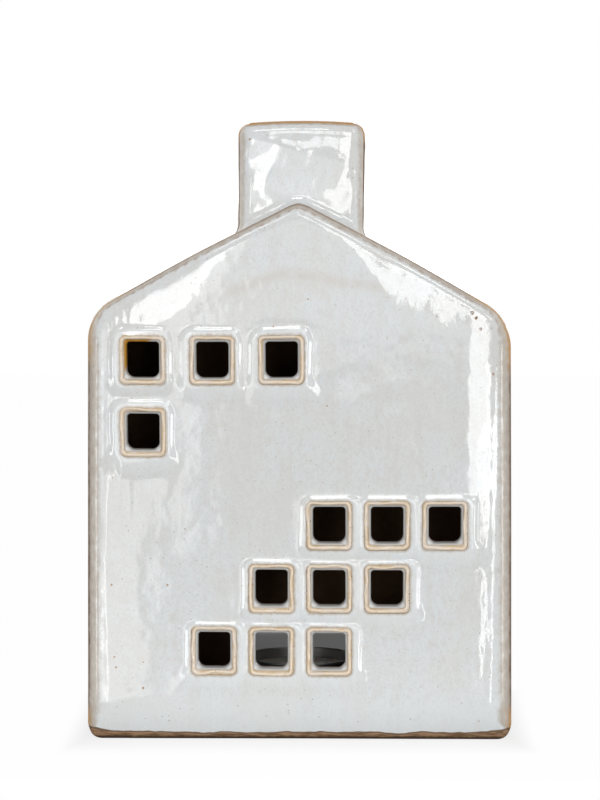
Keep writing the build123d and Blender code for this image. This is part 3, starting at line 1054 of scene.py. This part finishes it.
def chimney_side(node, start, end, inner_start, inner_end, bend):
    """One slab of the chimney, from its foot on the roof, over its rounded lip and down the flue.

    start and end are on the outside, and inner_start and inner_end are the flue's corners.
    """
    places, facings = chimney_outside(start, end, bend)
    inner_start, inner_end = np.array(inner_start), np.array(inner_end)
    if bend is None:
        run = np.linspace(0, 1, len(places))
        corner_wear_and_shade = np.full(len(places), side_wear_share)
    else:
        run = np.clip((places[:, 0] - inner_start[0]) / (inner_end[0] - inner_start[0]), 0, 1)
        # Rounded corners that turn sideways get worn, darker glaze, partly as painted shade
        facing = np.abs(facings[:, 0])
        corner_wear_and_shade = 0.55 * smoothstep(0.25, 0.7, facing) + 0.45 * smoothstep(0.8, 0.93, facing)
        corner_wear_and_shade[[0, -1]] = side_wear_share
    lining = inner_start + (inner_end - inner_start) * run[:, None]
    flue_edge = 1.0
    for corner in (inner_start, inner_end):
        flue_edge = flue_edge * smoothstep(0, flue_corner, np.linalg.norm(lining - corner, axis=1))
    middle = (chimney_low.x + chimney_high.x) / 2
    top = chimney_high.z + crown_arch * (1 - ((places[:, 0] - middle) / (chimney_high.x - middle)) ** 2)
    shoulder = top - chimney_rim_radius
    foot = roof_height(places[:, 0] + facings[:, 0] * chimney_flare) - foot_sink
    rings, edges, inside = [], [], []

    def ring(flat_places, z, edge, within=0.0):
        rings.append(np.column_stack([flat_places, z]))
        edges.append(np.broadcast_to(edge, len(places)))
        inside.append(np.full(len(places), within))

    for share in np.linspace(0, 1, shaft_steps):
        z = foot + (shoulder - foot) * share
        flare = chimney_flare * np.clip(1 - (z - foot) / flare_height, 0, 1) ** 2
        ring(places + facings * flare[:, None] + chimney_relief(places, facings, z), z, corner_wear_and_shade)
    shoulder_places = rings[-1][:, :2]
    for angle in np.linspace(0, math.pi / 2, shoulder_steps)[1:]:
        inset = chimney_rim_radius * (1 - math.cos(angle))
        z = shoulder + chimney_rim_radius * math.sin(angle)
        crown_wear = np.maximum(corner_wear_and_shade, smoothstep(0.60, 0.82, math.sin(angle)))
        ring(shoulder_places - facings * inset, z, crown_wear)
    crown = rings[-1][:, :2]
    for angle in np.linspace(0, math.pi / 2, sill_steps)[1:]:
        share = 1 - lip_round * (1 - math.sin(angle)) / np.linalg.norm(lining - crown, axis=1)
        drop = lip_round * (1 - math.cos(angle)) * flue_edge
        ring(crown + (lining - crown) * np.clip(share, 0, 1)[:, None], top - drop, 0.8)
    lining_foot = roof_height(lining[:, 0]) - foot_sink
    for share in np.linspace(0, 1, flue_steps)[1:]:
        z = (top - lip_round) + (lining_foot - top + lip_round) * share
        ring(lining, z, 0.3, min(1.0, 0.2 + 2 * share))
    points, faces, kinds = loft(np.stack(rings, axis=1), [OUTSIDE] * (len(rings) - 1) + [JOINT], False)
    warm = smoothstep(*(chimney_high.z - drop for drop in crown_tan), points[:, 2])
    paint = glaze_paint(points, np.stack(inside, axis=1).ravel(), np.stack(edges, axis=1).ravel(), warm)
    make_glazed(node, points, faces, kinds, paint)


# The house, slab by slab


def clear_of_windows(places, spacing):
    """Whether places keep off the windows, and near them or the foot only where finely spaced."""
    distance = nearest_window(*places.T)
    close = (distance < window_margin) | (places[:, 1] < foot_radius)
    fine = spacing < (face_step + window_step) / 2
    return (distance > hole_gap_share * spacing) & (close if fine else ~close)


window_hole = window_loop(-rim_slip, rim_radius, rim_radius)
window_holes = [(window_hole + centre, np.zeros_like(window_hole)) for centre in rim_centres.values()]
window_spots = [face_spots(spacing, clear_of_windows) for spacing in (face_step, window_step)]
face_slab(
    "front_wall", front_y, front_joint_y, front_relief, front_lip, window_holes,
    np.concatenate(window_spots), 0,
)
for node in rim_nodes:
    window_collar(node)

# Doorway: the arch takes its width from the tealight's rim
door_clearance = 3.8 * mm
door_half_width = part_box("tealight_cup")[1].x + door_clearance
door_spring = 11.97 * mm
door_round = 1.5 * mm
jamb_steps = 8


def doorway():
    """Points round the arched doorway, and the directions in which its edge is rounded."""
    arch = spokes(np.linspace(0, math.pi, 61))
    share = np.linspace(0, 1, jamb_steps + 1)[:-1, None]
    rise = np.array([[0, floor_top - door_spring]])
    right_jamb = arch[:1] * door_half_width + rise * (1 - share)
    left_jamb = arch[-1:] * door_half_width + rise * share[1:]
    sill_x = np.linspace(-door_half_width, door_half_width, 31)[:-1]
    sill = pairs(sill_x, np.full(len(sill_x), floor_top - door_spring))
    places = np.concatenate([right_jamb, arch * door_half_width, left_jamb, sill]) + [0, door_spring]
    right_out, left_out = arch[:1].repeat(jamb_steps, 0), arch[-1:].repeat(jamb_steps - 1, 0)
    spread = np.concatenate([right_out, arch, left_out, np.zeros_like(sill)])
    return places, spread * smoothstep(floor_top, floor_top + 2 * door_round, places[:, 1])[:, None]


def clear_of_doorway(places, spacing):
    x, z = places.T
    above = np.hypot(x, z - door_spring) - door_half_width
    beside = np.abs(x) - door_half_width
    gap = np.where(z > door_spring, above, np.maximum(beside, floor_top - z))
    return gap > door_round + hole_gap_share * spacing


face_slab(
    "back_wall", back_y, back_joint_y, back_relief, 0, [doorway()],
    face_spots(face_step, clear_of_doorway), door_round,
)

ring_slab("floor", LEFT_FLOOR, RIGHT_FLOOR, floor_lining)
ring_slab("right_wall", RIGHT_FLOOR, RIGHT_EAVE, wall_lining)
ring_slab("right_roof", RIGHT_EAVE, RIDGE, roof_lining, hole=True)
ring_slab("left_roof", RIDGE, LEFT_EAVE, roof_lining, hole=True)
ring_slab("left_wall", LEFT_EAVE, LEFT_FLOOR, wall_lining)

for node, y, bend in (
    ("chimney_front", flue_low.y, chimney_low.y),
    ("chimney_back", flue_high.y, chimney_high.y),
):
    ends = (chimney_low.x, y), (chimney_high.x, y), (flue_low.x, y), (flue_high.x, y)
    chimney_side(node, *ends, bend)
for node, x, flue_x in (
    ("chimney_left", chimney_low.x, flue_low.x),
    ("chimney_right", chimney_high.x, flue_high.x),
):
    ends = (x, flue_low.y), (x, flue_high.y), (flue_x, flue_low.y), (flue_x, flue_high.y)
    chimney_side(node, *ends, None)

# The tealight: profiles are radii and heights in mm

cup_profile = (
    (0, 0.15), (11.5, 0.15), (12.2, 0), (16.8, 0), (17.8, 0.15), (18.3, 0.55), (18.42, 1.2), (18.5, 4),
    (18.6, 8), (18.7, 12), (18.78, 15), (19, 15.25), (19.18, 15.5), (19.18, 15.75), (18.98, 15.97),
    (18.72, 15.95), (18.5, 15.75), (18.4, 15.4), (18.38, 15), (18.3, 12), (18.2, 8), (18.1, 4),
    (18, 1), (17.8, 0.5), (17.4, 0.4), (0, 0.4),
)
wax_profile = (
    (0, 0.0), (8, 0.0), (16.6, 0.0), (17.5, 0.35), (17.72, 1.1), (17.8, 4.0), (17.9, 8.0), (17.98, 11.0),
    (17.85, 11.75), (17.4, 12.0), (16.6, 11.85), (15.0, 11.6), (12.0, 11.45), (8.0, 11.4), (5.0, 11.42),
    (3.0, 11.55), (1.8, 11.8), (1.0, 12.0), (0, 12.0),
)
flutes = 48
flute_depth = 0.07 * mm
flute_foot, flute_top = (2 * mm, 4 * mm), (14.5 * mm, 12 * mm)
wax_ripple = (0.12 * mm, 6 * mm, 7)
wax_top, wax_edge, wax_middle = (11 * mm, 11.3 * mm), (17.5 * mm, 15 * mm), (0, 3 * mm)


def fluted(radii, heights, angle):
    """Shallow pressed flutes round the middle of the cup's wall."""
    wall = smoothstep(*flute_foot, heights) * smoothstep(*flute_top, heights)
    return radii + flute_depth * math.cos(flutes * angle) * wall, heights


def poured(radii, heights, angle):
    """A set surface, a little uneven."""
    places = pairs(radii * math.cos(angle), radii * math.sin(angle))
    on_top = smoothstep(*wax_top, heights) * smoothstep(*wax_edge, radii) * smoothstep(*wax_middle, radii)
    return radii, heights + ripples(places, wax_ripple) * on_top


def turned(node, ending, profile, wobble, material, slot, body):
    """A solid turned about the tealight's axis from a closed profile."""
    x, y, _ = centre_of(node)
    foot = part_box(node)[0].z
    rings = []
    for angle in np.linspace(0, 2 * math.pi, turn_steps + 1)[:-1]:
        radii, heights = wobble(*np.array(profile).T * mm, angle)
        across, deep = x + radii * math.cos(angle), y + radii * math.sin(angle)
        rings.append(np.column_stack([across, deep, foot + heights]))
    solid = loft(np.stack(rings), [OUTSIDE] * len(profile), True)
    make_piece(node, ending, *solid, {}, material, slot, body)


turned("tealight_cup", "pressed", cup_profile, fluted, foil, "cup_aluminium", "tealight_cup")
turned("candle_wax", "poured", wax_profile, poured, wax, "wax", "candle")

strand_count = 3
strand_radius = 0.36 * mm
strand_pitch = 3.2 * mm
strand_taper = 0.4 * mm
strand_end_share = 0.35


def braided_wick():
    """Cotton strands twisted together, as tall as the CAD wick."""
    low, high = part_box("candle_wick")
    heights = np.linspace(low.z, high.z, wick_steps)
    around = spokes(np.linspace(0, 2 * math.pi, strand_sides + 1)[:-1])
    to_end = np.minimum(heights - low.z, high.z - heights)
    ends = np.minimum(1, strand_end_share + to_end / strand_taper)
    points, faces, kinds = [], [], []
    for strand in range(strand_count):
        twist = 2 * math.pi * ((heights - low.z) / strand_pitch + strand / strand_count)
        centres = centre_of("candle_wick")[:2] + strand_radius * spokes(twist)
        flat = centres[:, None] + strand_radius * ends[:, None, None] * around
        up = np.broadcast_to(heights[:, None, None], (*flat.shape[:2], 1))
        sections = np.concatenate([flat, up], axis=2)
        strand_points, strand_faces, strand_kinds = loft(sections, [OUTSIDE] * len(around), False)
        start = sum(map(len, points))
        points.append(strand_points)
        faces += [[corner + start for corner in face] for face in strand_faces]
        kinds += strand_kinds
    points = np.concatenate(points)
    make_piece("candle_wick", "twisted", points, faces, kinds, {}, cotton, "wick", "candle")


braided_wick()
tab = frame["nodes"]["wick_sustainer"]
tab.data.materials.clear()
tab.data.materials.append(steel)

# Floor, light and camera

floor_left, floor_right, floor_near, floor_far = -0.9, 0.9, -0.10, 1.6
# The house's shadow behind it is painted on the floor: a darker grey patch of this size and place
shadow_half_width = 0.076
shadow_half_length = 0.135
shadow_middle = 0.105
shadow_start_share = 0.55
painted_shadow_colour = (0.42, 0.42, 0.42, 1)
floor_colour = (0.85, 0.85, 0.85, 1)
contact_reach = 26 * mm
contact_light, open_light = 0.80, 0.985
ambient = 0.115
lamp_target = Vector((0, 0, 0.09))
lamp_distance = 1.25
camera_place = (0.015, -1.0366, 0.195)
camera_dip, camera_turn = math.radians(4.697), math.radians(0.844)
camera_lens, camera_sensor = 137.69, 36

# Lamps: bearing to the right and up, width and height, all in degrees, then radiance and distance
lamps = {
    "left_box": (-15.1, -5.5, 20, 15, 2.6, 3.0),
    "left_strip": (-11.5, 6.5, 6.5, 10, 9.0, 1.2),
    "left_line_strip": (-21.4, -4, 2, 24, 6.0, 1.15),
    "left_edge_strip": (-48, -7, 14, 11, 7.5, 4.0),
    "right_strip": (9.8, 2.5, 8.4, 19, 7.5, 3.0),
    "right_line_strip": (13.8, -8.5, 2.2, 9, 9.0, 3.0),
    "right_crown_strip": (12.7, 17.8, 7, 12, 8.5, 3.0),
    "right_edge_strip": (43, -7, 13, 11, 9.0, 4.0),
    "right_corner_box": (36, 28, 12, 12, 7.0, 4.0),
    "front_box": (-1, 2, 14, 9, 1.5, lamp_distance),
    "crown_box": (3, 22, 9, 9, 6.0, lamp_distance),
    "overhead_box": (-2, 39.5, 13, 11, 9.0, 4.0),
    "left_roof_box": (-38, 47, 9, 8, 8.0, lamp_distance),
    "right_roof_box": (38, 47, 9, 8, 8.0, lamp_distance),
}
fill_bearings = {"left_fill": -110, "back_fill": 180, "right_fill": 110}
fill_settings = (20, 60, 50, 1.2, lamp_distance)


def stage_floor():
    """A pale floor, white where the studio light falls on it, with the house's shadow painted on it behind
    the house as a darker grey patch.
    """
    mesh = bpy.data.meshes.new("pale_floor")
    corners = [(x, floor_near, 0) for x in (floor_left, floor_right)]
    corners += [(x, floor_far, 0) for x in (floor_right, floor_left)]
    mesh.from_pydata(corners, [], [(0, 1, 2, 3)])
    floor = bpy.data.objects.new("pale_floor", mesh)
    bpy.context.scene.collection.objects.link(floor)
    finish = Finish("pale_floor")
    x, y, _ = finish.axes()
    across = finish.math("DIVIDE", x, shadow_half_width)
    along = finish.math("DIVIDE", finish.math("SUBTRACT", y, shadow_middle), shadow_half_length)
    fourths = [finish.math("POWER", finish.math("ABSOLUTE", part), 4.0) for part in (across, along)]
    away = finish.math("POWER", finish.math("ADD", *fourths), 0.25)
    clear = finish.range(away, shadow_start_share, 1.0)
    beside = finish.math("SUBTRACT", finish.math("ABSOLUTE", x), half_base)
    before = finish.math("SUBTRACT", finish.math("ABSOLUTE", y), back_y)
    close = finish.math("MAXIMUM", finish.times(beside, 3.0), before)
    lit = finish.times(clear, finish.range(close, 0.0, contact_reach, contact_light, open_light))
    # Painted shadow: inside the patch the floor's own colour turns from pale to the painted shadow grey
    colour = finish.mix(clear, painted_shadow_colour, floor_colour)
    diffuse = finish.add("ShaderNodeBsdfDiffuse", {"Color": colour}).outputs["BSDF"]
    glow = finish.add("ShaderNodeEmission").outputs["Emission"]
    blend = finish.add("ShaderNodeMixShader", {0: finish.times(finish.seen(), lit), 1: diffuse, 2: glow})
    finish.put(finish.tree.nodes["Material Output"].inputs["Surface"], blend.outputs["Shader"])
    finish.tree.nodes.remove(finish.shader)
    mesh.materials.append(finish.material)


def studio_world():
    """White where it is seen, and an even dim light elsewhere."""
    world = bpy.data.worlds.new("studio")
    bpy.context.scene.world = world
    world.use_nodes = True
    nodes = Nodes(world.node_tree)
    background = world.node_tree.nodes["Background"]
    nodes.put(background.inputs["Color"], (1, 1, 1, 1))
    strength = nodes.math("MULTIPLY_ADD", nodes.seen(), 1 - ambient, ambient)
    nodes.put(background.inputs["Strength"], strength)


def softbox(name, azimuth, elevation, width, height, radiance, distance, receivers=None):
    """A soft rectangular light at a bearing seen from the house's middle.

    Where receivers are given, it lights only the pieces in that collection.
    """
    turn, lift = math.radians(azimuth), math.radians(elevation)
    away = Vector((math.sin(turn) * math.cos(lift), -math.cos(turn) * math.cos(lift), math.sin(lift)))
    light = bpy.data.lights.new(name, "AREA")
    light.shape = "RECTANGLE"
    light.size = 2 * distance * math.tan(math.radians(width / 2))
    light.size_y = 2 * distance * math.tan(math.radians(height / 2))
    light.energy = radiance * math.pi * light.size * light.size_y
    lamp = bpy.data.objects.new(name, light)
    lamp.location = lamp_target + away * distance
    lamp.rotation_euler = (-away).to_track_quat("-Z", "Y").to_euler()
    bpy.context.scene.collection.objects.link(lamp)
    if receivers:
        lamp.light_linking.receiver_collection = receivers


def photo_camera():
    """The photograph's viewpoint."""
    camera = bpy.data.cameras.new("camera")
    camera.lens = camera_lens
    camera.sensor_width = camera_sensor
    viewer = bpy.data.objects.new("camera", camera)
    viewer.location = camera_place
    viewer.rotation_euler = (math.pi / 2 - camera_dip, 0, camera_turn)
    bpy.context.scene.collection.objects.link(viewer)
    bpy.context.scene.camera = viewer


stage_floor()
studio_world()
house_pieces = bpy.data.collections.new("house_pieces")
for piece in bpy.context.scene.collection.objects:
    if piece.name.endswith(("_glazed", "_fired")):
        house_pieces.objects.link(piece)
for name, settings in lamps.items():
    softbox(name, *settings)
for name, bearing in fill_bearings.items():
    softbox(name, bearing, *fill_settings, house_pieces)
photo_camera()
bpy.context.scene.view_settings.view_transform = "Standard"
